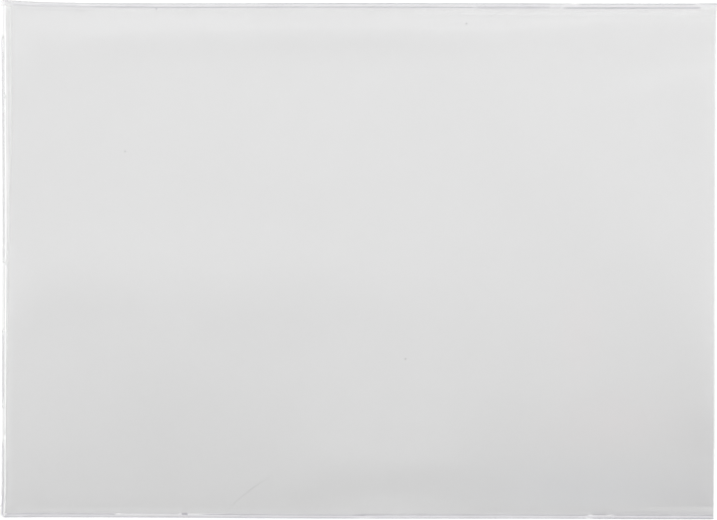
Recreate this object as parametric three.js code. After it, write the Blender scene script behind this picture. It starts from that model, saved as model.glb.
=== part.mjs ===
// A clear document sleeve lying flat. Two sheets of soft clear plastic film are welded together
// along three edges, and open along the fourth, a short one. The weld is the kind that is pressed
// and torn off in one stroke: a thin lip, a pressed land, and a bead where the two films part.
// Millimetres, +Z up, the closed short edge at -X and the open mouth at +X.

import * as THREE from 'three';
import { mergeVertices } from 'three/addons/utils/BufferGeometryUtils.js';

// Outline, before its small unevenness
const sleeveLength = 305;
const sleeveHeight = 220;
const upperCornerRadius = 1;
const lowerCornerRadius = 2.3;

// Unevenness of the cut outline
const mouthLean = 0.9; // the mouth runs this much further out at its upper end than at its lower end
const mouthFlare = 0.6; // and its upper end turns out by this much more
const mouthFlareReach = 9; // over this length
const lowerEdgeDrop = 0.95; // the lower edge drops this much from the closed end to the mouth
const cornerFlare = 1.65; // the upper edge rises this much towards the closed end
const cornerFlareReach = 20; // and the rise fades over this length
const lowerCornerFlare = 0.25; // the lower edge turns down by this much at the closed end
const lowerCornerFlareReach = 8;
const lowerCornerBulge = 0.6; // the closed short edge swells out by this much at its lower end
const lowerCornerBulgeReach = 7;
const longEdgeBulge = 0.2; // both long edges swell out by this much near their middle
const longEdgeBulgeMiddle = -10;
const longEdgeBulgeReach = 60;
const closedEdgeLean = 0.15; // the closed short edge runs this much further in at its lower end
const closedEdgeDent = 0.43; // and goes in by this much near its middle
const closedEdgeDentMiddle = 17;
const closedEdgeDentReach = 47;

// The film, and the section of its weld from the outline inwards
const filmThickness = 0.2;
const lipWidth = 0.3;
const lipThickness = 0.06;
const landThickness = 0.12; // of the front film, where the weld has pressed it
const beadWidth = 0.6;
const beadHeight = 0.06; // above the film's own face
const weldWidth = 1.9;

// The pocket: how far the front film stands clear of the back film. It climbs off the weld in a
// short slope, bends over at a knee, and floats up from there in a low dome.
const kneeHeight = 0.25;
const kneeReach = 3;
const domeHeight = 0.24;
const domeReach = 30;
const mouthReach = 40; // the dome dies away over this length towards the mouth
const settleReach = 9; // and the waves over this distance from a weld

// Beside the upper edge, next to the closed end, the knee is higher and further from the weld.
const cornerKneeHeight = 0.37;
const cornerKneeWidth = 12;
const cornerKneeLength = 62;
const cornerKneeFoot = 60; // height above the middle of the sleeve at which it begins
const cornerKneeGrowth = 40; // and the distance over which it grows from there

// Waves that the soft front film keeps, placed from the middle of the sleeve and turned by an angle
// in degrees. A swell is a smooth hump that falls away over its two reaches. A crease is a ridge with
// a kink along its crest, with one reach above the crest and another below it.
const swells = [
  { x: 5, y: 104, height: 1.6, long: 145, short: 11, turn: 1.5 },
  { x: 98, y: 34, height: 0.75, long: 200, short: 27, turn: -50 },
  { x: -103, y: -7, height: 0.77, long: 120, short: 20, turn: -1.5 },
  { x: -85, y: -38, height: 0.54, long: 31, short: 27, turn: -6 },
  { x: 5, y: -103, height: 0.27, long: 29, short: 13.5, turn: -3 },
  { x: 123, y: -52, height: 0.73, long: 98, short: 51, turn: 22 },
];
const creases = [
  { x: 14, y: -86, height: 0.93, halfLength: 37, above: 36, below: 100, turn: -4 },
  { x: 135, y: 76, height: 0.63, halfLength: 34, above: 5, below: 200, turn: 14 },
  { x: -93, y: 97, height: 0.6, halfLength: 46, above: 7, below: 70, turn: 9 },
];
const crestRounding = 1.2;

// Fineness of the two meshes
const cornerSteps = 3; // over half of a corner's arc
const riseSteps = [0.5, 0.9, 1.3, 2, 3.5, 6]; // shares of kneeReach past the weld
const frontFilmStep = 8;
const backFilmStep = 30;
const closestStations = 0.1;

// Places across the weld where the front film's section turns
const beadStart = weldWidth - beadWidth;
const beadCrest = weldWidth - beadWidth / 2;
const weldSection = [
  [0, lipThickness],
  [lipWidth, landThickness],
  [beadStart, landThickness],
  [beadCrest, filmThickness + beadHeight],
  [weldWidth, filmThickness],
];

// Adds to a list of distances those others that keep clear of every distance already in it.
function withOthers(distances, others) {
  const all = [...distances];
  for (const other of others) {
    if (all.every((distance) => Math.abs(distance - other) >= closestStations)) {
      all.push(other);
    }
  }
  return all.sort((a, b) => a - b);
}

// Steps of a corner's arc, as distances from a welded edge.
function arcStations(radius) {
  return Array.from({ length: cornerSteps }, (_, k) => (radius * (k + 1)) / cornerSteps);
}

// Distances from a welded edge at which a mesh has a line: the places that must be met, and the
// steps of both corners' arcs.
function edgeStations(mustMeet) {
  return withOthers(mustMeet, [...arcStations(lowerCornerRadius), ...arcStations(upperCornerRadius)]);
}

// Even lines between two distances, both left out, no further apart than step.
function evenlyBetween(start, end, step) {
  const cells = Math.max(1, Math.ceil((end - start) / step));
  return Array.from({ length: cells - 1 }, (_, k) => start + ((end - start) * (k + 1)) / cells);
}

// The lines of a mesh along X, from the closed edge to the mouth.
function columnsOf(welded, step) {
  const inner = welded.at(-1);
  return [...welded, ...evenlyBetween(inner, sleeveLength, step), sleeveLength];
}

// The lines of a mesh along Y, from the lower edge to the upper one, both welded.
function rowsOf(welded, step) {
  const inner = welded.at(-1);
  const upper = welded.map((distance) => sleeveHeight - distance).reverse();
  return [...welded, ...evenlyBetween(inner, sleeveHeight - inner, step), ...upper];
}

// Rounds a welded corner. A point keeps its distance from the outline: squares around the middle
// of the arc become circles around it, and each point slides along its own square or circle.
function roundCorner(fromClosed, fromLong, cornerRadius) {
  const a = cornerRadius - fromClosed;
  const b = cornerRadius - fromLong;
  if (a <= 0 || b <= 0) {
    return [fromClosed, fromLong];
  }
  const radius = Math.max(a, b);
  const angle = (Math.PI / 4) * (Math.min(a, b) / radius);
  const near = radius * Math.cos(angle);
  const far = radius * Math.sin(angle);
  return a >= b
    ? [cornerRadius - near, cornerRadius - far]
    : [cornerRadius - far, cornerRadius - near];
}

// A smooth bell: 1 at its middle, and e times less at a distance of one reach from it.
function bell(distance, reach) {
  return Math.exp(-((distance / reach) ** 2));
}

// Gives the outline its small unevenness, which dies away across the sleeve.
function uneven(x, y) {
  const towardsMouth = x / sleeveLength + 0.5;
  const towardsTop = y / sleeveHeight + 0.5;
  const dent = closedEdgeDent * bell(y - closedEdgeDentMiddle, closedEdgeDentReach);
  const bulge = lowerCornerBulge * Math.exp((-towardsTop * sleeveHeight) / lowerCornerBulgeReach);
  const inwards = dent - bulge + closedEdgeLean * (0.5 - towardsTop);
  const turnOut = mouthFlare * Math.exp(((towardsTop - 1) * sleeveHeight) / mouthFlareReach);
  const lean = mouthLean * (towardsTop - 0.5) + turnOut;
  const flare = cornerFlare * Math.exp((-towardsMouth * sleeveLength) / cornerFlareReach);
  const turnDown = lowerCornerFlare * Math.exp((-towardsMouth * sleeveLength) / lowerCornerFlareReach);
  const drop = lowerEdgeDrop * (towardsMouth - 0.5) + turnDown;
  const swelling = longEdgeBulge * bell(x - longEdgeBulgeMiddle, longEdgeBulgeReach);
  return [
    x + inwards * (1 - towardsMouth) + lean * towardsMouth,
    y + flare * towardsTop - drop * (1 - towardsTop) + swelling * (2 * towardsTop - 1),
  ];
}

// A mesh point's plan position, and its distance from the nearest welded edge.
function planPoint(column, row) {
  const isLower = row < sleeveHeight / 2;
  const fromLong = Math.min(row, sleeveHeight - row);
  const cornerRadius = isLower ? lowerCornerRadius : upperCornerRadius;
  const [fromClosed, across] = roundCorner(column, fromLong, cornerRadius);
  const y = isLower ? across - sleeveHeight / 2 : sleeveHeight / 2 - across;
  const [x, unevenY] = uneven(fromClosed - sleeveLength / 2, y);
  return { x, y: unevenY, inwards: Math.min(column, fromLong) };
}

// Thickness of the front film at a distance from the outline: straight lines between the places
// where the weld's section turns.
function frontFilmThickness(inwards) {
  for (let i = 1; i < weldSection.length; i += 1) {
    const [start, startThickness] = weldSection[i - 1];
    const [end, endThickness] = weldSection[i];
    if (inwards < end) {
      return THREE.MathUtils.mapLinear(inwards, start, end, startThickness, endThickness);
    }
  }
  return filmThickness;
}

// Distances from a wave's middle, along it and across it.
function fromWave(wave, x, y) {
  const turn = THREE.MathUtils.degToRad(wave.turn);
  const dx = x - wave.x;
  const dy = y - wave.y;
  return {
    along: dx * Math.cos(turn) + dy * Math.sin(turn),
    across: dy * Math.cos(turn) - dx * Math.sin(turn),
  };
}

function swellHeight(wave, x, y) {
  const { along, across } = fromWave(wave, x, y);
  return wave.height * Math.exp(-((along / wave.long) ** 2) - (across / wave.short) ** 2);
}

function creaseHeight(wave, x, y) {
  const { along, across } = fromWave(wave, x, y);
  const distance = Math.hypot(across, crestRounding) - crestRounding;
  const reach = across > 0 ? wave.above : wave.below;
  return wave.height * Math.exp(-distance / reach - (along / wave.halfLength) ** 4);
}

// How far the front film's underside stands clear of the back film.
function clearance({ x, y, inwards }) {
  const pastWeld = Math.max(inwards - weldWidth, 0);
  const fromClosedEnd = x + sleeveLength / 2;
  const besideCorner =
    Math.exp(-((fromClosedEnd / cornerKneeLength) ** 4)) *
    THREE.MathUtils.smoothstep(y, cornerKneeFoot, cornerKneeFoot + cornerKneeGrowth);
  const kneeShare = pastWeld / (kneeReach + cornerKneeWidth * besideCorner);
  const kneeTop = kneeHeight + cornerKneeHeight * besideCorner;
  const knee = (kneeTop * kneeShare) / (1 + kneeShare ** 4) ** 0.25;
  const fromMouth = Math.max(0, sleeveLength / 2 - x);
  const towardsClosedEnd = 1 - Math.exp(-fromMouth / mouthReach);
  const dome = domeHeight * (1 - Math.exp(-((pastWeld / domeReach) ** 2))) * towardsClosedEnd;
  const settled = 1 - Math.exp(-((pastWeld / settleReach) ** 2));
  const swelling = swells.reduce((sum, wave) => sum + swellHeight(wave, x, y), 0);
  const creasing = creases.reduce((sum, wave) => sum + creaseHeight(wave, x, y), 0);
  return knee + dome + (swelling + creasing) * settled;
}

// One sheet of film: a box divided along the mesh's lines, whose upper and lower faces are then
// laid on the two faces of the film and whose four sides become its edges.
function film(name, columns, rows, lowerFace, upperFace, material) {
  const across = columns.length - 1;
  const up = rows.length - 1;
  const geometry = new THREE.BoxGeometry(across, up, 1, across, up, 1);
  const position = geometry.getAttribute('position');
  for (let i = 0; i < position.count; i += 1) {
    const column = columns[Math.round(position.getX(i) + across / 2)];
    const row = rows[Math.round(position.getY(i) + up / 2)];
    const point = planPoint(column, row);
    const height = position.getZ(i) > 0 ? upperFace(point) : lowerFace(point);
    position.setXYZ(i, point.x, point.y, height);
  }
  geometry.deleteAttribute('normal');
  geometry.deleteAttribute('uv');
  const closed = mergeVertices(geometry);
  closed.computeVertexNormals();
  const mesh = new THREE.Mesh(closed, material);
  mesh.name = name;
  return mesh;
}

// The back film lies flat, and the front film is welded to its upper face.
function backFilm() {
  const welded = edgeStations([0]);
  return film(
    'back_film',
    columnsOf(welded, backFilmStep),
    rowsOf(welded, backFilmStep),
    () => 0,
    () => filmThickness,
    clearFilm(0xd2d2d4),
  );
}

function frontFilm() {
  const rise = riseSteps.map((share) => weldWidth + share * kneeReach);
  const welded = edgeStations([...weldSection.map(([distance]) => distance), ...rise]);
  const lowerFace = (point) => filmThickness + clearance(point);
  return film(
    'front_film',
    columnsOf(welded, frontFilmStep),
    rowsOf(welded, frontFilmStep),
    lowerFace,
    (point) => lowerFace(point) + frontFilmThickness(point.inwards),
    clearFilm(0xdcdcde),
  );
}

// Soft clear plastic, faintly grey, with a smooth glossy face.
function clearFilm(color) {
  return new THREE.MeshStandardMaterial({
    color,
    roughness: 0.15,
    metalness: 0,
    transparent: true,
    opacity: 0.3,
  });
}

// The sleeve stands with the middle of its outline over the origin.
function documentSleeve() {
  const sleeve = new THREE.Group();
  sleeve.add(backFilm(), frontFilm());
  const middle = new THREE.Box3().setFromObject(sleeve).getCenter(new THREE.Vector3());
  sleeve.position.set(-middle.x, -middle.y, 0);
  sleeve.updateMatrixWorld(true);
  return sleeve;
}

export default documentSleeve();
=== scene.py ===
# %% [markdown]
# A document sleeve is two sheets of soft clear vinyl, one on the other, welded together along three
# edges. Paper slides in at the fourth, which is short. It lies on a white table and is seen from
# straight above, so almost nothing of it shows but its weld lines, a grey that the film takes from
# the table behind it, and the room that its glossy faces mirror. This lesson makes those three
# things with real shapes where it can: the imported model gives the sheets' place and size, numpy
# gives their fine surface, and a short shader gives the clear film. The weld's finest lines are
# painted shade and painted highlights, and a darker reflection near the mouth's lower corner is
# painted too.

import math
from typing import NamedTuple

import bpy
import numpy as np
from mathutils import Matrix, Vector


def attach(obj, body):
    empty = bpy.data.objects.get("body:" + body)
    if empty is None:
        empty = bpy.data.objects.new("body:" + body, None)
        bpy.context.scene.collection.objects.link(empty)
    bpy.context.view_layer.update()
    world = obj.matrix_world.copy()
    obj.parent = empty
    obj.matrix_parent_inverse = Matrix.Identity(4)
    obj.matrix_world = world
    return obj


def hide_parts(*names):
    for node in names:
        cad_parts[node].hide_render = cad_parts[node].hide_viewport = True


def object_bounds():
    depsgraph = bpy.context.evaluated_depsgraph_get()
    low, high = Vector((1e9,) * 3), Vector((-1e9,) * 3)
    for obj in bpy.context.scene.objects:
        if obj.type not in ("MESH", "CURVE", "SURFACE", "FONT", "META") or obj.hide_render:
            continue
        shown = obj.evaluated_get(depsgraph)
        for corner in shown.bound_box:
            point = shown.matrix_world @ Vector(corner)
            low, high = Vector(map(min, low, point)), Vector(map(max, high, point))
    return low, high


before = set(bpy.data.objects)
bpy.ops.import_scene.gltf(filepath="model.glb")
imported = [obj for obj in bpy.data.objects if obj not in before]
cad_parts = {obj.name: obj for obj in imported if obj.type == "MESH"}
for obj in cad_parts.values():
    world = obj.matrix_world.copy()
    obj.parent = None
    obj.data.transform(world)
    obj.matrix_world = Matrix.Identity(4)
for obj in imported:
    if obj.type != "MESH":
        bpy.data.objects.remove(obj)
MM = 0.001  # a millimetre, in Blender's metres
cad_low, cad_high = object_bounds()
cad_size = [round(side / MM, 2) for side in cad_high - cad_low]
print("nodes", sorted(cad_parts), "size of the packed model in mm", cad_size)

# %% [markdown]
# The outline comes first. A welding bar presses the sheets together and the waste is torn away
# along the bar, so a real sleeve is never a true rectangle: its mouth leans, its lower edge drops a
# little, its corners flare, the long edges swell and the closed short edge goes in. One formula for
# each of these moves the points of a true rectangle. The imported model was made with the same
# formulas, so the fine sheets here cover the plain ones there. All lengths are in millimetres until
# a mesh is made.

# %% Sizes of the outline
LENGTH = 305
HEIGHT = 220
UPPER_CORNER_RADIUS = 1
LOWER_CORNER_RADIUS = 2.3
MOUTH_LEAN = 0.9
MOUTH_FLARE = 0.6
MOUTH_FLARE_REACH = 9
LOWER_EDGE_DROP = 0.95
CORNER_FLARE = 1.65
CORNER_FLARE_REACH = 20
LOWER_CORNER_FLARE = 0.25
LOWER_CORNER_FLARE_REACH = 8
LOWER_CORNER_BULGE = 0.6
LOWER_CORNER_BULGE_REACH = 7
LONG_EDGE_BULGE = {"height": 0.2, "middle": -10, "reach": 60}
CLOSED_EDGE_LEAN = 0.15
CLOSED_EDGE_DENT = {"height": 0.43, "middle": 17, "reach": 47}
print(f"outline before its unevenness: {LENGTH} x {HEIGHT} mm")
print(f"radii of its welded corners: {UPPER_CORNER_RADIUS} and {LOWER_CORNER_RADIUS} mm")


# %% Round the two welded corners and bend the edges
def round_corner(from_closed, from_long, corner_radius):
    """Squares around the middle of the corner's arc become circles around it: a point whose larger
    distance from that middle is r goes to radius r, at 45 degrees times its smaller distance over r."""
    a = np.maximum(corner_radius - from_closed, 0)
    b = np.maximum(corner_radius - from_long, 0)
    radius = np.maximum(a, b)
    angle = math.pi / 4 * np.minimum(a, b) / np.where(radius > 0, radius, 1)
    near = corner_radius - radius * np.cos(angle)
    far = corner_radius - radius * np.sin(angle)
    in_corner = (a > 0) & (b > 0)
    closed = np.where(in_corner, np.where(a >= b, near, far), from_closed)
    long = np.where(in_corner, np.where(a >= b, far, near), from_long)
    return closed, long


def bell(place, bump):
    """Height times e to the minus square of the distance from the middle, measured in reaches."""
    return bump["height"] * np.exp(-(((place - bump["middle"]) / bump["reach"]) ** 2))


def uneven(x, y):
    """Moves each edge by its bells and by flares that die away exponentially from a corner. A move is
    full at its own edge and grows from nothing at the opposite one."""
    towards_mouth = x / LENGTH + 0.5
    towards_top = y / HEIGHT + 0.5
    bulge = LOWER_CORNER_BULGE * np.exp(-towards_top * HEIGHT / LOWER_CORNER_BULGE_REACH)
    inwards = bell(y, CLOSED_EDGE_DENT) - bulge + CLOSED_EDGE_LEAN * (0.5 - towards_top)
    turn_out = MOUTH_FLARE * np.exp((towards_top - 1) * HEIGHT / MOUTH_FLARE_REACH)
    outwards = MOUTH_LEAN * (towards_top - 0.5) + turn_out
    flare = CORNER_FLARE * np.exp(-towards_mouth * LENGTH / CORNER_FLARE_REACH)
    turn_down = LOWER_CORNER_FLARE * np.exp(-towards_mouth * LENGTH / LOWER_CORNER_FLARE_REACH)
    drop = LOWER_EDGE_DROP * (towards_mouth - 0.5) + turn_down
    swelling = bell(x, LONG_EDGE_BULGE) * (2 * towards_top - 1)
    moved_x = x + inwards * (1 - towards_mouth) + outwards * towards_mouth
    return moved_x, y + flare * towards_top - drop * (1 - towards_top) + swelling


def plan(column, row):
    """Plan position of a grid point that stands so far from the closed edge and from the lower edge."""
    from_long = np.minimum(row, HEIGHT - row)
    corner_radius = np.where(row < HEIGHT / 2, LOWER_CORNER_RADIUS, UPPER_CORNER_RADIUS)
    from_closed, across = round_corner(column, from_long, corner_radius)
    y = np.where(row < HEIGHT / 2, across - HEIGHT / 2, HEIGHT / 2 - across)
    return uneven(from_closed - LENGTH / 2, y)


print("mouth corners", [np.round(plan(LENGTH, row), 2).tolist() for row in (0, HEIGHT)])

# %% [markdown]
# The weld has a section of its own: a thin lip where the waste tore off, a pressed land, and a bead
# of squeezed-out vinyl where the two sheets part. It is only two millimetres wide, and its slopes draw
# part of the fine lines along the sleeve's edges; the rest is painted shade and painted highlights in
# the shader below. Straight lines between its corners would give hard bands, so each stretch eases in and
# out.

# %% The sheets' thickness and the weld's section
FILM = 0.2
LIP_WIDTH = 0.3
LIP = 0.06
LAND = 0.12
BEAD_WIDTH = 0.6
BEAD_HEIGHT = 0.06
WELD_WIDTH = 1.9
SEAM = 0.004  # keeps the two sheets' faces apart inside the weld
WELD_STATIONS = [0, LIP_WIDTH, WELD_WIDTH - BEAD_WIDTH, WELD_WIDTH - BEAD_WIDTH / 2, WELD_WIDTH]
WELD_THICKNESSES = [LIP, LAND, LAND, FILM + BEAD_HEIGHT, FILM]


def ease(share):
    """Smooth step: 3 s squared less 2 s cubed, with s held between 0 and 1."""
    s = np.clip(share, 0, 1)
    return s * s * (3 - 2 * s)


def front_thickness(inwards):
    """From station to station the thickness goes from one value to the next by a smooth step."""
    total = np.full_like(inwards, WELD_THICKNESSES[0])
    for start, end, before, after in zip(
        WELD_STATIONS, WELD_STATIONS[1:], WELD_THICKNESSES, WELD_THICKNESSES[1:]
    ):
        total += (after - before) * ease((inwards - start) / (end - start))
    return total


print("thickness at the land, the bead and the film", front_thickness(np.array([0.8, 1.6, 5.0])).round(3))

# %% [markdown]
# Inside the weld the back sheet lies flat on the table and the front sheet stands a little clear of
# it. It climbs off the weld in a short straight slope and bends over at a knee, then floats up in a
# very low dome. Soft film also keeps waves from the roll and from being handled. They are only some
# tenths of a millimetre high, but a glossy sheet shows them, because a slope of half a degree already
# mirrors another part of the room. A swell is a smooth hump, and a crease is a ridge with a kink along
# its crest, gentle on one side and steep on the other.

# %% Waves of the front sheet, placed from the middle of the sleeve
KNEE_HEIGHT = 0.25
KNEE_REACH = 3
DOME_HEIGHT = 0.24
DOME_REACH = 30
MOUTH_REACH = 40  # the dome dies away over this length towards the mouth
SETTLE_REACH = 9  # and the waves over this distance from a weld
CORNER_KNEE_HEIGHT = 0.37  # beside the upper edge, next to the closed end, the knee is this much higher
CORNER_KNEE_WIDTH = 12  # and this much further out
CORNER_KNEE_LENGTH = 62
CORNER_KNEE_FOOT = 60
CORNER_KNEE_GROWTH = 40
SWELLS = [
    {"x": 5, "y": 104, "height": 1.6, "long": 145, "short": 11, "turn": 1.5},
    {"x": 98, "y": 34, "height": 0.75, "long": 200, "short": 27, "turn": -50},
    {"x": -103, "y": -7, "height": 0.77, "long": 120, "short": 20, "turn": -1.5},
    {"x": -85, "y": -38, "height": 0.54, "long": 31, "short": 27, "turn": -6},
    {"x": 5, "y": -103, "height": 0.27, "long": 29, "short": 13.5, "turn": -3},
    {"x": 123, "y": -52, "height": 0.73, "long": 98, "short": 51, "turn": 22},
]
CREASES = [
    {"x": 14, "y": -86, "height": 0.93, "half_length": 37, "above": 36, "below": 100, "turn": -4},
    {"x": 135, "y": 76, "height": 0.63, "half_length": 34, "above": 5, "below": 200, "turn": 14},
    {"x": -93, "y": 97, "height": 0.6, "half_length": 46, "above": 7, "below": 70, "turn": 9},
]
CREST_ROUNDING = 1.2
print(f"{len(SWELLS)} swells and {len(CREASES)} creases")


# %% Height of the front sheet over the back one
def turned(x, y, wave):
    """Distances from a wave's middle, along it and across it."""
    turn = math.radians(wave["turn"])
    dx, dy = x - wave["x"], y - wave["y"]
    return dx * math.cos(turn) + dy * math.sin(turn), dy * math.cos(turn) - dx * math.sin(turn)


def swell(x, y, wave):
    """Height times e to the minus square of the distance, measured in reaches."""
    along, across = turned(x, y, wave)
    return wave["height"] * np.exp(-((along / wave["long"]) ** 2) - (across / wave["short"]) ** 2)


def crease(x, y, wave):
    """Height times e to the minus distance from the crest over the reach of that side, with the crest
    rounded as a hyperbola, times e to the minus fourth power of the share of its half length."""
    along, across = turned(x, y, wave)
    distance = np.hypot(across, CREST_ROUNDING) - CREST_ROUNDING
    reach = np.where(across > 0, wave["above"], wave["below"])
    return wave["height"] * np.exp(-distance / reach - (along / wave["half_length"]) ** 4)


def clearance(x, y, inwards):
    """The knee, t over the fourth root of 1 + t to the fourth, plus the dome and the waves, which grow
    with 1 less e to the minus square of the distance from the weld."""
    past_weld = np.maximum(inwards - WELD_WIDTH, 0)
    beside_corner = np.exp(-(((x + LENGTH / 2) / CORNER_KNEE_LENGTH) ** 4))
    beside_corner = beside_corner * ease((y - CORNER_KNEE_FOOT) / CORNER_KNEE_GROWTH)
    knee_share = past_weld / (KNEE_REACH + CORNER_KNEE_WIDTH * beside_corner)
    knee_top = KNEE_HEIGHT + CORNER_KNEE_HEIGHT * beside_corner
    knee = knee_top * knee_share / (1 + knee_share**4) ** 0.25
    towards_closed_end = 1 - np.exp(-np.maximum(LENGTH / 2 - x, 0) / MOUTH_REACH)
    dome = DOME_HEIGHT * (1 - np.exp(-((past_weld / DOME_REACH) ** 2))) * towards_closed_end
    settled = 1 - np.exp(-((past_weld / SETTLE_REACH) ** 2))
    waves = sum(swell(x, y, wave) for wave in SWELLS) + sum(crease(x, y, wave) for wave in CREASES)
    return knee + dome + waves * settled


sample = [(-150, 0, 2.5), (0, 0, 110), (-120, 95, 15), (152, 0, 110)]
print("clearance in mm", [round(float(clearance(*map(np.float64, place))), 2) for place in sample])

# %% [markdown]
# A sheet is a grid: lines run along it and across it, close together over the weld and further apart
# inside. Both faces use the same plan, the lower one at one height and the upper one at another, and
# four narrow strips close the edges, so each sheet is a solid that could be cut from the roll. The
# mesh also carries, for each point, its distance from each of the three welded edges. The shader
# draws with that, because it follows the outline round its corners and along its waves.

# %% Lines of the grid
FINE_STEP = 0.12
FINE_WIDTH = 3
GROWTH = 1.2
OPEN_STEP = 1.9


def edge_lines():
    """Even fine steps across the weld, then steps that each grow by the same share."""
    steps = math.ceil(math.log(OPEN_STEP / FINE_STEP) / math.log(GROWTH))
    grown = FINE_WIDTH + np.cumsum(FINE_STEP * GROWTH ** np.arange(1, steps + 1))
    return np.concatenate([np.arange(0, FINE_WIDTH + FINE_STEP / 2, FINE_STEP), grown])


def between(start, end):
    """Even steps of about OPEN_STEP, with both ends left out."""
    return np.linspace(start, end, math.ceil((end - start) / OPEN_STEP) + 1)[1:-1]


welded = edge_lines()
columns = np.concatenate([welded, between(welded[-1], LENGTH), [LENGTH]])
rows = np.concatenate([welded, between(welded[-1], HEIGHT - welded[-1]), HEIGHT - welded[::-1]])
column, row = np.meshgrid(columns, rows)
sheet_x, sheet_y = plan(column, row)
inwards = np.minimum(column, np.minimum(row, HEIGHT - row))
middle_x = (sheet_x.min() + sheet_x.max()) / 2
middle_y = (sheet_y.min() + sheet_y.max()) / 2
plan_size = [round(float(np.ptp(side)), 2) for side in (sheet_x, sheet_y)]
print("grid", sheet_x.shape, "plan size in mm", plan_size)


# %% A closed sheet between a lower and an upper face
SHARP_ANGLE = 40  # degrees, past which an edge between two faces isn't smoothed


def closed_sheet(name, lower, upper, lower_material, upper_material, edge_material):
    """Grid points at the lower and the upper height. Quads go round counterclockwise on the upper face
    and clockwise on the lower one, and a strip of quads joins the two along the outline."""
    count = sheet_x.size
    x, y = sheet_x - middle_x, sheet_y - middle_y
    points = [np.stack([x, y, z], -1).reshape(-1, 3) for z in (upper, lower)]
    top = np.arange(count).reshape(sheet_x.shape)
    faces_up = np.stack([top[:-1, :-1], top[:-1, 1:], top[1:, 1:], top[1:, :-1]], -1).reshape(-1, 4)
    ring = np.concatenate([top[0, :-1], top[:-1, -1], top[-1, :0:-1], top[:0:-1, 0]])
    after = np.roll(ring, -1)
    strip = np.stack([ring + count, after + count, after, ring], -1)
    faces = np.concatenate([faces_up, faces_up[:, ::-1] + count, strip])
    mesh = bpy.data.meshes.new(name)
    mesh.from_pydata(np.concatenate(points) * MM, [], faces)
    for material in FILM_MATERIALS:
        mesh.materials.append(material)
    strip_material = np.full(len(strip), edge_material)
    face_material = np.concatenate([upper_material.ravel(), lower_material.ravel(), strip_material])
    mesh.polygons.foreach_set("material_index", face_material.astype(np.int32))
    mesh.shade_smooth()
    mesh.set_sharp_from_angle(angle=math.radians(SHARP_ANGLE))
    from_edges = np.stack([column, HEIGHT - row, row], -1).reshape(-1, 3)
    stored = mesh.attributes.new("from_edges", "FLOAT_VECTOR", "POINT")
    stored.data.foreach_set("vector", np.tile(from_edges, (2, 1)).astype(np.float32).ravel())
    piece = bpy.data.objects.new(name, mesh)
    bpy.context.collection.objects.link(piece)
    print(name, len(faces), "faces", len(mesh.vertices), "points")
    return piece


# %% [markdown]
# Shaders are written as sums. A socket wrapped in the small class below takes part in arithmetic, so a
# mask that is dark in the middle of a line is written as it would be on paper, and each operation adds
# its own Math node. Every other node comes from one method that sets a node's settings first and its
# sockets after them.


# %% Arithmetic for shader sockets
class Socket:
    """A node's output that can be added, multiplied, divided and raised like a number."""

    def __init__(self, tree, output):
        self.tree = tree
        self.output = output

    def math(self, operation, first, second=None):
        values = {0: first} if second is None else {0: first, 1: second}
        return self.tree.node("ShaderNodeMath", {"operation": operation}, values)

    def __add__(self, other):
        return self.math("ADD", self, other)

    def __mul__(self, other):
        return self.math("MULTIPLY", self, other)

    def __sub__(self, other):
        return self.math("SUBTRACT", self, other)

    def __rsub__(self, other):
        return self.math("SUBTRACT", other, self)

    def __truediv__(self, other):
        return self.math("DIVIDE", self, other)

    def __pow__(self, other):
        return self.math("POWER", self, other)

    def at_least(self, other):
        return self.math("MAXIMUM", self, other)

    def at_most(self, other):
        return self.math("MINIMUM", self, other)

    def fall_off(self):
        """E to the minus this value: 1 at nothing, and close to 0 from about 4 on."""
        return self.math("EXPONENT", self * -1)

    def line(self, middle, half_width):
        """Bell curve: e to the minus square of the distance from the middle, in half widths."""
        share = (self - middle) / half_width
        return (share * share).fall_off()

    def rise(self, start, end):
        """Smooth step from 0 at the start to 1 at the end, which may lie on either side of it."""
        settings = {"interpolation_type": "SMOOTHSTEP"}
        limits = {"Value": self, "From Min": start, "From Max": end}
        return self.tree.node("ShaderNodeMapRange", settings, limits)

    __radd__ = __add__
    __rmul__ = __mul__


class Tree:
    """A shader's node tree, emptied, with one method that adds any node."""

    def __init__(self, owner):
        owner.use_nodes = True
        self.nodes = owner.node_tree.nodes
        self.links = owner.node_tree.links
        self.nodes.clear()

    def node(self, kind, settings=None, sockets=None, output=0):
        made = self.nodes.new(kind)
        for name, value in (settings or {}).items():
            setattr(made, name, value)
        for name, value in (sockets or {}).items():
            if isinstance(value, Socket):
                self.links.new(value.output, made.inputs[name])
            else:
                made.inputs[name].default_value = value
        return Socket(self, made.outputs[output]) if made.outputs else None

    def split(self, vector):
        parts = self.node("ShaderNodeSeparateXYZ", {}, {0: vector}).output.node.outputs
        return [Socket(self, part) for part in parts]

    def mix(self, share, first, second):
        """A Mix node on colours: the first where the share is 0, the second where it is 1."""
        return self.node("ShaderNodeMix", {"data_type": "RGBA"}, {0: share, 6: first, 7: second}, output=2)

    def slow_change(self, x, y, length, detail):
        """Noise over the plan, mostly between 0.7 and 1.3, whose hills are about as wide as the length."""
        place = self.node("ShaderNodeCombineXYZ", {}, {0: x / length, 1: y / length})
        sockets = {"Vector": place, "Scale": 1, "Detail": detail}
        return 0.7 + 0.6 * self.node("ShaderNodeTexNoise", {"noise_dimensions": "2D"}, sockets)


print("shader arithmetic ready")

# %% [markdown]
# Clear film does three things to light. It lets most of it through and takes a little away. It mirrors
# a few hundredths at each of its faces, more when seen at a slant. And it scatters a trace, which makes
# it look faintly milky. A glass shader would bend the rays and need many bounces, but a sheet this thin
# hardly moves what is behind it, so a straight-through Transparent shader is mixed with a milky
# Principled one, and a Glossy one lies over both. How much a shiny face mirrors follows a well-known
# rule: the share seen straight on, plus the rest times the fifth power of one less the cosine.

# %% What a face of the film does to light
FACE_REFLECTION = 0.04  # seen straight on
THROUGH = 0.9625  # share of the light that one face lets through
MILKINESS = 0.02
MOST_COVERED = 0.95  # share of a face that marks may hide
MILK = (0.72, 0.72, 0.73, 1)
GLOSS_ROUGHNESS = 0.08


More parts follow.
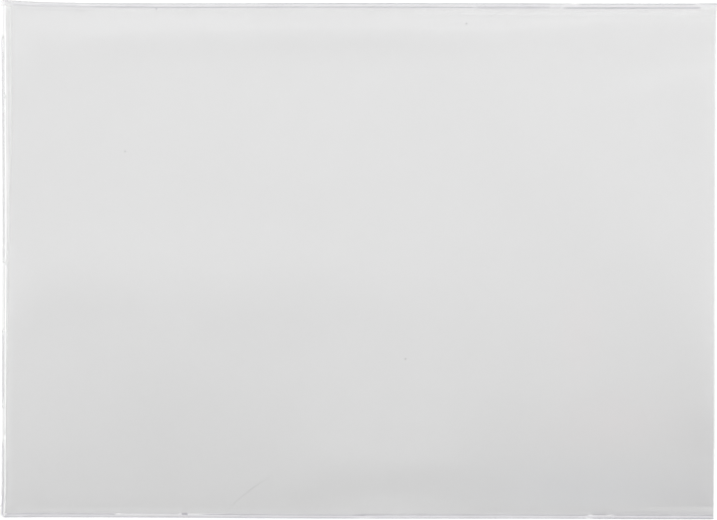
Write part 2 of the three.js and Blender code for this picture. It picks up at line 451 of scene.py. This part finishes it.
def bonded_shader():
    """Inside the weld the two sheets are one, and light meets no face between them."""
    material = bpy.data.materials.new("bonded_film")
    tree = Tree(material)
    clear = tree.node("ShaderNodeBsdfTransparent", {}, {"Color": (1, 1, 1, 1)})
    tree.node("ShaderNodeOutputMaterial", {}, {"Surface": clear})
    return material


def film_shader(name, marks=None):
    """Clear film whose face may carry marks, painted shade and highlights among them: a share of the face
    that they cover, and their colour.
    """
    material = bpy.data.materials.new(name)
    tree = Tree(material)
    cover, colour = marks(tree) if marks else (MILKINESS, MILK)
    sockets = {"Base Color": colour, "Roughness": 0.5, "Specular IOR Level": 0}
    milky = tree.node("ShaderNodeBsdfPrincipled", {}, sockets)
    through = tree.node("ShaderNodeBsdfTransparent", {}, {"Color": (THROUGH, THROUGH, THROUGH, 1)})
    body = tree.node("ShaderNodeMixShader", {}, {0: cover, 1: through, 2: milky})
    slant = tree.node("ShaderNodeLayerWeight", {}, {"Blend": 0.5}, output="Facing")
    mirrored = FACE_REFLECTION + (1 - FACE_REFLECTION) * slant**5
    gloss = tree.node("ShaderNodeBsdfGlossy", {}, {"Color": (1, 1, 1, 1), "Roughness": GLOSS_ROUGHNESS})
    face = tree.node("ShaderNodeMixShader", {}, {0: mirrored, 1: body, 2: gloss})
    tree.node("ShaderNodeOutputMaterial", {}, {"Surface": face})
    print(name, len(tree.nodes), "nodes")
    return material


# %% [markdown]
# A few grains of dust have stuck to the film. A grain is a dark round spot that fades at its rim: a
# bell curve of the distance from a point. Object coordinates give the place on the sheet, because the
# finished sheet stands unturned with its middle over the origin. Dust can lie on the weld and on the
# open face, so both kinds of marks below add it.

# %% Grains of dust, in millimetres from the middle of the sleeve
GRAINS = [
    {"x": -99.5, "y": 46.2, "share": 0.55},
    {"x": 20.1, "y": -42.4, "share": 0.6},
    {"x": -98.5, "y": -75.7, "share": 0.45},
    {"x": -86.3, "y": 107.1, "share": 0.5},
    {"x": 46.1, "y": 100.6, "share": 0.45},
]
GRAIN_RADIUS = 0.27
DIRT = (0.1, 0.1, 0.1, 1)


def place_on_sheet(tree):
    """Object coordinates in millimetres."""
    place = tree.split(tree.node("ShaderNodeTexCoord", {}, {}, output="Object"))
    return place[0] / MM, place[1] / MM


def dust(tree, x, y):
    """For each grain, its share times e to the minus square of the distance, in grain radii."""
    covered = 0
    for grain in GRAINS:
        dx, dy = (x - grain["x"]) / GRAIN_RADIUS, (y - grain["y"]) / GRAIN_RADIUS
        covered = covered + grain["share"] * (dx * dx + dy * dy).fall_off()
    return covered


print(len(GRAINS), "grains")

# %% [markdown]
# The weld's lines are painted shade and painted highlights on the front sheet's outer face. On the real
# sleeve the dark ones are places where the pressed vinyl bends light away from the eye and the white
# ones gather the light of a lamp, and both are far finer than the mesh. A line is a bell curve of the
# distance from one edge. It starts and stops where the real one does, and its strength comes and goes
# along the edge, as the welding bar's pressure did.

# %% What a line along a welded edge is
CLOSED, UPPER, LOWER = 0, 1, 2
# Colours of the painted shade lines, which dust on the weld takes too, and of the painted highlights
SHADE_AND_DUST_COLOUR = (0.24, 0.22, 0.3, 1)
HIGHLIGHT_COLOUR = (0.98, 0.98, 0.98, 1)
LAST = 160  # past the end of every edge


class Line(NamedTuple):
    """A line of painted shade beside an edge, or of painted highlight where white is set. All lengths are
    in millimetres, inwards from the edge or along it.
    """

    edge: int
    inwards: float
    half_width: float
    share: float  # of the face that it covers along its middle
    start: float
    end: float
    fade: float = 4  # length over which it starts
    fade_out: float = 2  # and over which it stops
    # white makes the line a painted highlight; otherwise it is a painted shade line
    white: bool = False


print("a line has", ", ".join(Line._fields))

# %% Painted shade lines beside the upper edge, from the lip to the bead
UPPER_PAINTED_SHADE = [
    Line(UPPER, 0.25, 0.25, 0.22, -152.3, -149.5, fade=0.5, fade_out=0.5),
    Line(UPPER, 0.22, 0.25, 0.18, -151, 92),
    Line(UPPER, 0.22, 0.25, 0.06, -118, 20, fade=10, fade_out=10),
    Line(UPPER, 0.22, 0.25, 0.08, -38, 20, fade=10, fade_out=10),
    Line(UPPER, 0.08, 0.25, 0.18, 10, 83, fade=10),
    Line(UPPER, 0.3, 0.25, 0.27, 92, 145),
    Line(UPPER, 0.12, 0.25, 0.33, 143, LAST),
    Line(UPPER, 1.0, 0.8, 0.09, -151.5, -147, fade=1),
    Line(UPPER, 0.95, 0.8, 0.08, -151, LAST),
    Line(UPPER, 1.2, 0.25, 0.1, -138, -118, fade=4, fade_out=4),
    Line(UPPER, 1.75, 0.26, 0.14, -149.5, 50),
    Line(UPPER, 1.6, 0.26, 0.17, -130, -85, fade=25, fade_out=8),
    Line(UPPER, 1.75, 0.26, 0.17, -93, 50, fade=8),
    Line(UPPER, 1.75, 0.5, 0.2, 48, 83, fade=3),
    Line(UPPER, 1.9, 0.5, 0.1, 82, 87, fade=1, fade_out=1),
    Line(UPPER, 1.95, 0.3, 0.38, 86, 126, fade=3),
    Line(UPPER, 1.9, 0.3, 0.3, 124, 147, fade=2),
    Line(UPPER, 3.2, 1.0, 0.03, -148, -115),
]
print(len(UPPER_PAINTED_SHADE), "dark lines beside the upper edge")

# %% Painted shade lines beside the lower edge
LOWER_PAINTED_SHADE = [
    Line(LOWER, 0.4, 0.3, 0.22, -152, 5, fade=1, fade_out=10),
    Line(LOWER, 0.4, 0.3, 0.15, 0, 98, fade=10),
    Line(LOWER, 0.4, 0.3, 0.25, 98, LAST),
    Line(LOWER, 0.2, 0.3, 0.04, 108, LAST),
    Line(LOWER, 1.0, 0.8, 0.1, -151.5, LAST, fade=1),
    Line(LOWER, 1.6, 0.24, 0.32, -150.6, -103, fade=1),
    Line(LOWER, 1.85, 0.25, 0.13, -103, -76),
    Line(LOWER, 1.7, 0.4, 0.42, -76, -72.5, fade=1, fade_out=1),
    Line(LOWER, 1.6, 0.24, 0.3, -70, 4, fade=8),
    Line(LOWER, 1.68, 0.25, 0.27, -4, 99, fade=8),
    Line(LOWER, 1.95, 0.3, 0.22, 99, 107, fade=2),
    Line(LOWER, 1.7, 0.24, 0.28, 107, LAST),
    Line(LOWER, 2.8, 0.9, 0.06, 95, LAST, fade=10),
    Line(LOWER, 4.0, 1.2, 0.03, 45, 110, fade=10, fade_out=10),
]
print(len(LOWER_PAINTED_SHADE), "dark lines beside the lower edge")

# %% Painted shade lines beside the closed short edge
CLOSED_PAINTED_SHADE = [
    Line(CLOSED, 0.95, 0.3, 0.12, -2, 90),
    Line(CLOSED, 0.95, 0.3, 0.15, -62, -31),
    Line(CLOSED, 1.0, 0.35, 0.16, -110, -78, fade=1),
    Line(CLOSED, 1.15, 0.35, 0.1, -110, -98, fade=1),
    Line(CLOSED, 3.0, 0.9, 0.05, -LAST, -85),
]
print(len(CLOSED_PAINTED_SHADE), "dark lines beside the closed edge")

# %% Painted highlights, nearly all beside the closed edge, whose bead gathers the light
PAINTED_HIGHLIGHTS = [
    Line(CLOSED, 0.1, 0.3, 0.8, -106, 109.8, fade=2, white=True),
    Line(CLOSED, 0.35, 0.25, 0.5, -106, -100, fade=2, white=True),
    Line(CLOSED, 0.5, 0.3, 0.2, -106, 109.8, white=True),
    Line(CLOSED, 0.6, 0.25, 0.16, 62, 92, white=True),
    Line(CLOSED, 0.85, 0.35, 0.16, 34, 64, white=True),
    Line(CLOSED, 0.8, 0.35, 0.12, -103, -32, white=True),
    Line(CLOSED, 1.0, 0.6, 0.68, 93, 109.8, white=True),
    Line(CLOSED, 1.0, 0.6, 0.5, -32, 0, white=True),
    Line(CLOSED, 1.0, 0.6, 0.4, -80, -62, white=True),
    Line(CLOSED, 1.92, 0.38, 0.68, 68, 109.8, white=True),
    Line(CLOSED, 1.78, 0.38, 0.7, -3, 70, white=True),
    Line(CLOSED, 1.93, 0.38, 0.6, -82, -1, fade=12, white=True),
    Line(CLOSED, 1.92, 0.38, 0.45, -109.5, -74, fade=2, white=True),
    Line(CLOSED, 2.7, 0.7, 0.2, -60, 109.8, fade=20, white=True),
    Line(CLOSED, 2.8, 0.9, 0.2, -5, 60, fade=30, fade_out=30, white=True),
    Line(CLOSED, 2.6, 0.55, 0.18, 20, 109.8, fade=40, white=True),
    Line(CLOSED, 3.55, 0.5, 0.2, 20, 109.8, fade=40, white=True),
    Line(CLOSED, 4.2, 0.5, 0.24, 20, 109.8, fade=40, white=True),
    Line(CLOSED, 4.9, 0.5, 0.06, 20, 109.8, fade=40, white=True),
    Line(UPPER, 2.35, 0.3, 0.09, -118, 10, white=True),
    Line(UPPER, 4.3, 1.0, 0.12, 0, LAST, fade=60, white=True),
    Line(LOWER, 3.6, 1.1, 0.08, -LAST, 0, fade=30, fade_out=40, white=True),
]
PRESSURE_LENGTH = 14  # of the slow changes along a line
PAINTED_WELD_LINES = UPPER_PAINTED_SHADE + LOWER_PAINTED_SHADE + CLOSED_PAINTED_SHADE + PAINTED_HIGHLIGHTS
print(len(PAINTED_HIGHLIGHTS), "white lines, of", len(PAINTED_WELD_LINES), "in all")


# %% Marks across the weld
NO_MARK = 0.001  # keeps the ratio of the colours defined where no line runs


def weld_painted_light_and_dust(tree):
    """Share covered: milkiness, plus for each painted shade line and highlight its strength times its bell
    curve. The colour goes from milk to the painted shade's dark and the highlights' white in the ratio of
    what covers the face."""
    x, y = place_on_sheet(tree)
    stored = tree.node("ShaderNodeAttribute", {"attribute_name": "from_edges"}, {}, output="Vector")
    from_edges = tree.split(stored)
    dark, white = 0, 0
    for weld_line in PAINTED_WELD_LINES:
        along = y if weld_line.edge == CLOSED else x
        mark = from_edges[weld_line.edge].line(weld_line.inwards, weld_line.half_width) * weld_line.share
        if weld_line.start > -LAST:
            mark = mark * along.rise(weld_line.start, weld_line.start + weld_line.fade)
        if weld_line.end < LAST:
            mark = mark * along.rise(weld_line.end, weld_line.end - weld_line.fade_out)
        if weld_line.white:
            white = mark + white
        else:
            dark = mark + dark
    # dark: the painted shade lines, their strength changing slowly along the weld, plus real dust
    dark = dark * tree.slow_change(x, y, PRESSURE_LENGTH, 2) + dust(tree, x, y)
    covered = (dark + white + MILKINESS).at_most(MOST_COVERED)
    lines_colour = tree.mix(white / (dark + white + NO_MARK), SHADE_AND_DUST_COLOUR, HIGHLIGHT_COLOUR)
    return covered, tree.mix((dark + white) / covered, MILK, lines_colour)


# %% [markdown]
# Away from the weld the film is all but spotless. One hairline scratch curves near the lower edge. The
# milkiness is a touch uneven, pinkish in one place and bluish in another, as vinyl is where it has
# touched paper. Near the mouth's lower corner a painted reflection greys the film: the darker part of
# the room, mirrored there. The scratch is a bell curve of the distance from a circle, cut off at both
# ends. A tint or a patch of painted reflection is a bell in two directions.

# %% Scratch, tints and patches of painted reflection, in millimetres from the middle of the sleeve
SCRATCH_MIDDLE = (4, -165)
SCRATCH_RADIUS = 83.5
SCRATCH_ENDS = (-58, -36)
SCRATCH_FADE = 2  # length over which it starts and stops
SCRATCH_WIDTH = 0.2
SCRATCH_SHARE = 0.09
TINTS = [
    {"x": 94, "y": -30, "long": 8, "short": 18, "colour": (0.95, 0.62, 0.66, 1)},
    {"x": 108, "y": -70, "long": 26, "short": 13, "colour": (0.95, 0.62, 0.66, 1)},
    {"x": 96, "y": -98, "long": 45, "short": 12, "colour": (0.55, 0.62, 0.85, 1)},
]
# Painted reflection: a darker grey for the dark part of the room that the film mirrors near the mouth's
# lower corner
ROOM_REFLECTION_COLOUR = (0.3, 0.28, 0.32, 1)
ROOM_REFLECTION_PATCHES = [
    {"x": 157, "y": -108, "long": 30, "short": 13, "share": 0.07},
    {"x": 157, "y": -76, "long": 14, "short": 13, "share": 0.05},
]
MOTTLE_LENGTH = 9  # of the milkiness's slow changes
print(len(TINTS), "tints and", len(ROOM_REFLECTION_PATCHES), "room_reflections")


# %% Marks on the open face
def soft_patch(x, y, patch):
    """A bell in two directions: e to the minus sum of the squares of both distances, in reaches."""
    along, across = (x - patch["x"]) / patch["long"], (y - patch["y"]) / patch["short"]
    return (along * along + across * across).fall_off()


def face_marks_and_painted_reflection(tree):
    """Milkiness times a slow noise, the tints as bell-shaped patches of its colour, a painted reflection
    of the darker room near the mouth's lower corner, and over them the dust and the scratch in one dark
    colour."""
    x, y = place_on_sheet(tree)
    milk = MILKINESS * tree.slow_change(x, y, MOTTLE_LENGTH, 3)
    colour = MILK
    for tint in TINTS:
        colour = tree.mix(soft_patch(x, y, tint), colour, tint["colour"])
    # painted reflection of the darker room, greying the film near the mouth's lower corner
    room_reflection = sum(soft_patch(x, y, patch) * patch["share"] for patch in ROOM_REFLECTION_PATCHES)
    colour = tree.mix(room_reflection / (room_reflection + milk), colour, ROOM_REFLECTION_COLOUR)
    dx, dy = x - SCRATCH_MIDDLE[0], y - SCRATCH_MIDDLE[1]
    from_middle = (dx * dx + dy * dy) ** 0.5
    first, last = SCRATCH_ENDS
    between_ends = x.rise(first, first + SCRATCH_FADE) * x.rise(last, last - SCRATCH_FADE)
    scratch = from_middle.line(SCRATCH_RADIUS, SCRATCH_WIDTH) * SCRATCH_SHARE * between_ends
    dark = dust(tree, x, y) + scratch
    covered = dark + room_reflection + milk
    return covered, tree.mix(dark / covered, colour, DIRT)


# %% [markdown]
# Now the two sheets can be made. Every face gets one of four materials: plain film, the open face with
# its marks and a painted reflection, the strip beside the edges with the weld's painted shade and
# highlights, or the bonded film where the two sheets meet inside the weld. Each sheet then belongs to the
# imported body and stands in for its plain node.

# %% The two sheets
FILM_MATERIALS = [
    film_shader("clear_film"),
    film_shader("clear_film_face", face_marks_and_painted_reflection),
    film_shader("clear_film_weld", weld_painted_light_and_dust),
    bonded_shader(),
]
PLAIN, FACE, WELD, BONDED = range(4)
LINES_WIDTH = 5.5  # from an edge, past which the weld's lines have all but faded
cell_inwards = inwards[:-1, :-1] / 2 + inwards[1:, 1:] / 2
plain_cells = np.full(cell_inwards.shape, PLAIN)
outer_cells = np.where(cell_inwards < LINES_WIDTH, WELD, FACE)
meeting_cells = np.where(cell_inwards < WELD_WIDTH, BONDED, PLAIN)
table_height, film_height = np.zeros_like(inwards), np.full_like(inwards, FILM)
back = closed_sheet("clear_back_sheet", table_height, film_height, plain_cells, meeting_cells, PLAIN)
under = FILM + SEAM + clearance(sheet_x, sheet_y, inwards)
over = under + front_thickness(inwards)
front = closed_sheet("clear_front_sheet", under, over, meeting_cells, outer_cells, PLAIN)
for piece, node in ((back, "back_film"), (front, "front_film")):
    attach(piece, "root")
    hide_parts(node)

# %% [markdown]
# The table is a plain white sheet. The room is a shader on the world: a pale ring all round, brighter
# towards a large soft lamp beyond the sleeve's upper edge and a weaker one on the left, and overhead a
# ceiling that falls off into the dark behind the camera. The film mirrors only that small overhead
# patch, so its grey goes from light at the upper edge to darker at the lower one.

# %% Table
TABLE_DROP = 0.05  # millimetres below the film, so that the two faces don't flicker
TABLE_SIDE = 6.0  # metres
TABLE_WHITE = (0.93, 0.93, 0.93, 1)
bpy.ops.mesh.primitive_plane_add(size=TABLE_SIDE, location=(0, 0, -TABLE_DROP * MM))
table = bpy.context.object
table.name = "table_top"
table_material = bpy.data.materials.new("white_table")
tree = Tree(table_material)
matt = tree.node("ShaderNodeBsdfDiffuse", {}, {"Color": TABLE_WHITE})
tree.node("ShaderNodeOutputMaterial", {}, {"Surface": matt})
table.data.materials.append(table_material)
print("table", TABLE_SIDE, "m wide")

# %% Brightness of the room, by the slope of the view: 0 straight up, 1 at 45 degrees
RING = 1.1
OVERHEAD = 1.03
OVERHEAD_CHANGE = (3.1, -8.4)  # towards the upper edge, with the slope and with its square
SIDEWAYS = 1.44
DARKEST = 0.04
CEILING_EDGE = (0.3, 0.6)  # slopes between which the ceiling gives way to the ring
UPPER_LAMP = 0.7  # how much brighter the lamps are than the room around them
UPPER_LAMP_EDGE = (0.16, 0.4)
LEFT_LAMP = 0.4
LEFT_LAMP_EDGE = (-0.3, -0.45)
LAMPS_FOOT = (0.5, 0.8)  # sines of the heights at which the lamps begin and are full
LOWEST = 0.05  # sine of the height below which the slope no longer grows
print("lamps", UPPER_LAMP, "and", LEFT_LAMP, "over a ring of", RING)

# %% Room
world = bpy.data.worlds.new("soft_room")
bpy.context.scene.world = world
world.cycles.sampling_method = "NONE"
tree = Tree(world)
sky = tree.split(tree.node("ShaderNodeTexCoord", {}, {}, output="Generated"))
up = sky[2].at_least(LOWEST)
to_right, to_top = sky[0] / up, sky[1] / up
overhead = OVERHEAD + OVERHEAD_CHANGE[0] * to_top + OVERHEAD_CHANGE[1] * to_top * to_top
overhead = (overhead + SIDEWAYS * to_top * to_right).at_least(DARKEST)
past_ceiling = (to_top * to_top + to_right * to_right).rise(CEILING_EDGE[0] ** 2, CEILING_EDGE[1] ** 2)
lamps = UPPER_LAMP * to_top.rise(*UPPER_LAMP_EDGE) + LEFT_LAMP * to_right.rise(*LEFT_LAMP_EDGE)
glow = overhead + (RING - overhead) * past_ceiling + lamps * sky[2].rise(*LAMPS_FOOT)
background = tree.node("ShaderNodeBackground", {}, {"Color": (1, 1, 1, 1), "Strength": glow})
tree.node("ShaderNodeOutputWorld", {}, {"Surface": background})
print("room", len(tree.nodes), "nodes")

# %% [markdown]
# The camera looks straight down, so far up that the sleeve fills the picture from side to side. Each
# ray crosses four faces of film on its way down, and light crosses four more, so the number of
# see-through layers that a ray may pass is raised. Colours are shown as they are, without a film look.

# %% Camera and colour
LENS = 70
SENSOR = 36
PICTURE_WIDTH = 306.5  # millimetres of table that the picture shows from side to side
AIM = (0.04, -0.16)  # the point on the table below the camera

camera = bpy.data.cameras.new("camera")
camera.lens = LENS
camera.sensor_width = SENSOR
eye = bpy.data.objects.new("camera", camera)
eye.location = (AIM[0] * MM, AIM[1] * MM, PICTURE_WIDTH * MM * LENS / SENSOR)
bpy.context.collection.objects.link(eye)
scene = bpy.context.scene
scene.camera = eye
scene.view_settings.view_transform = "Standard"
scene.cycles.transparent_max_bounces = 32
scene.cycles.max_bounces = 4
scene.cycles.diffuse_bounces = 2
scene.cycles.glossy_bounces = 2
print("camera height in mm", round(eye.location.z / MM, 1))
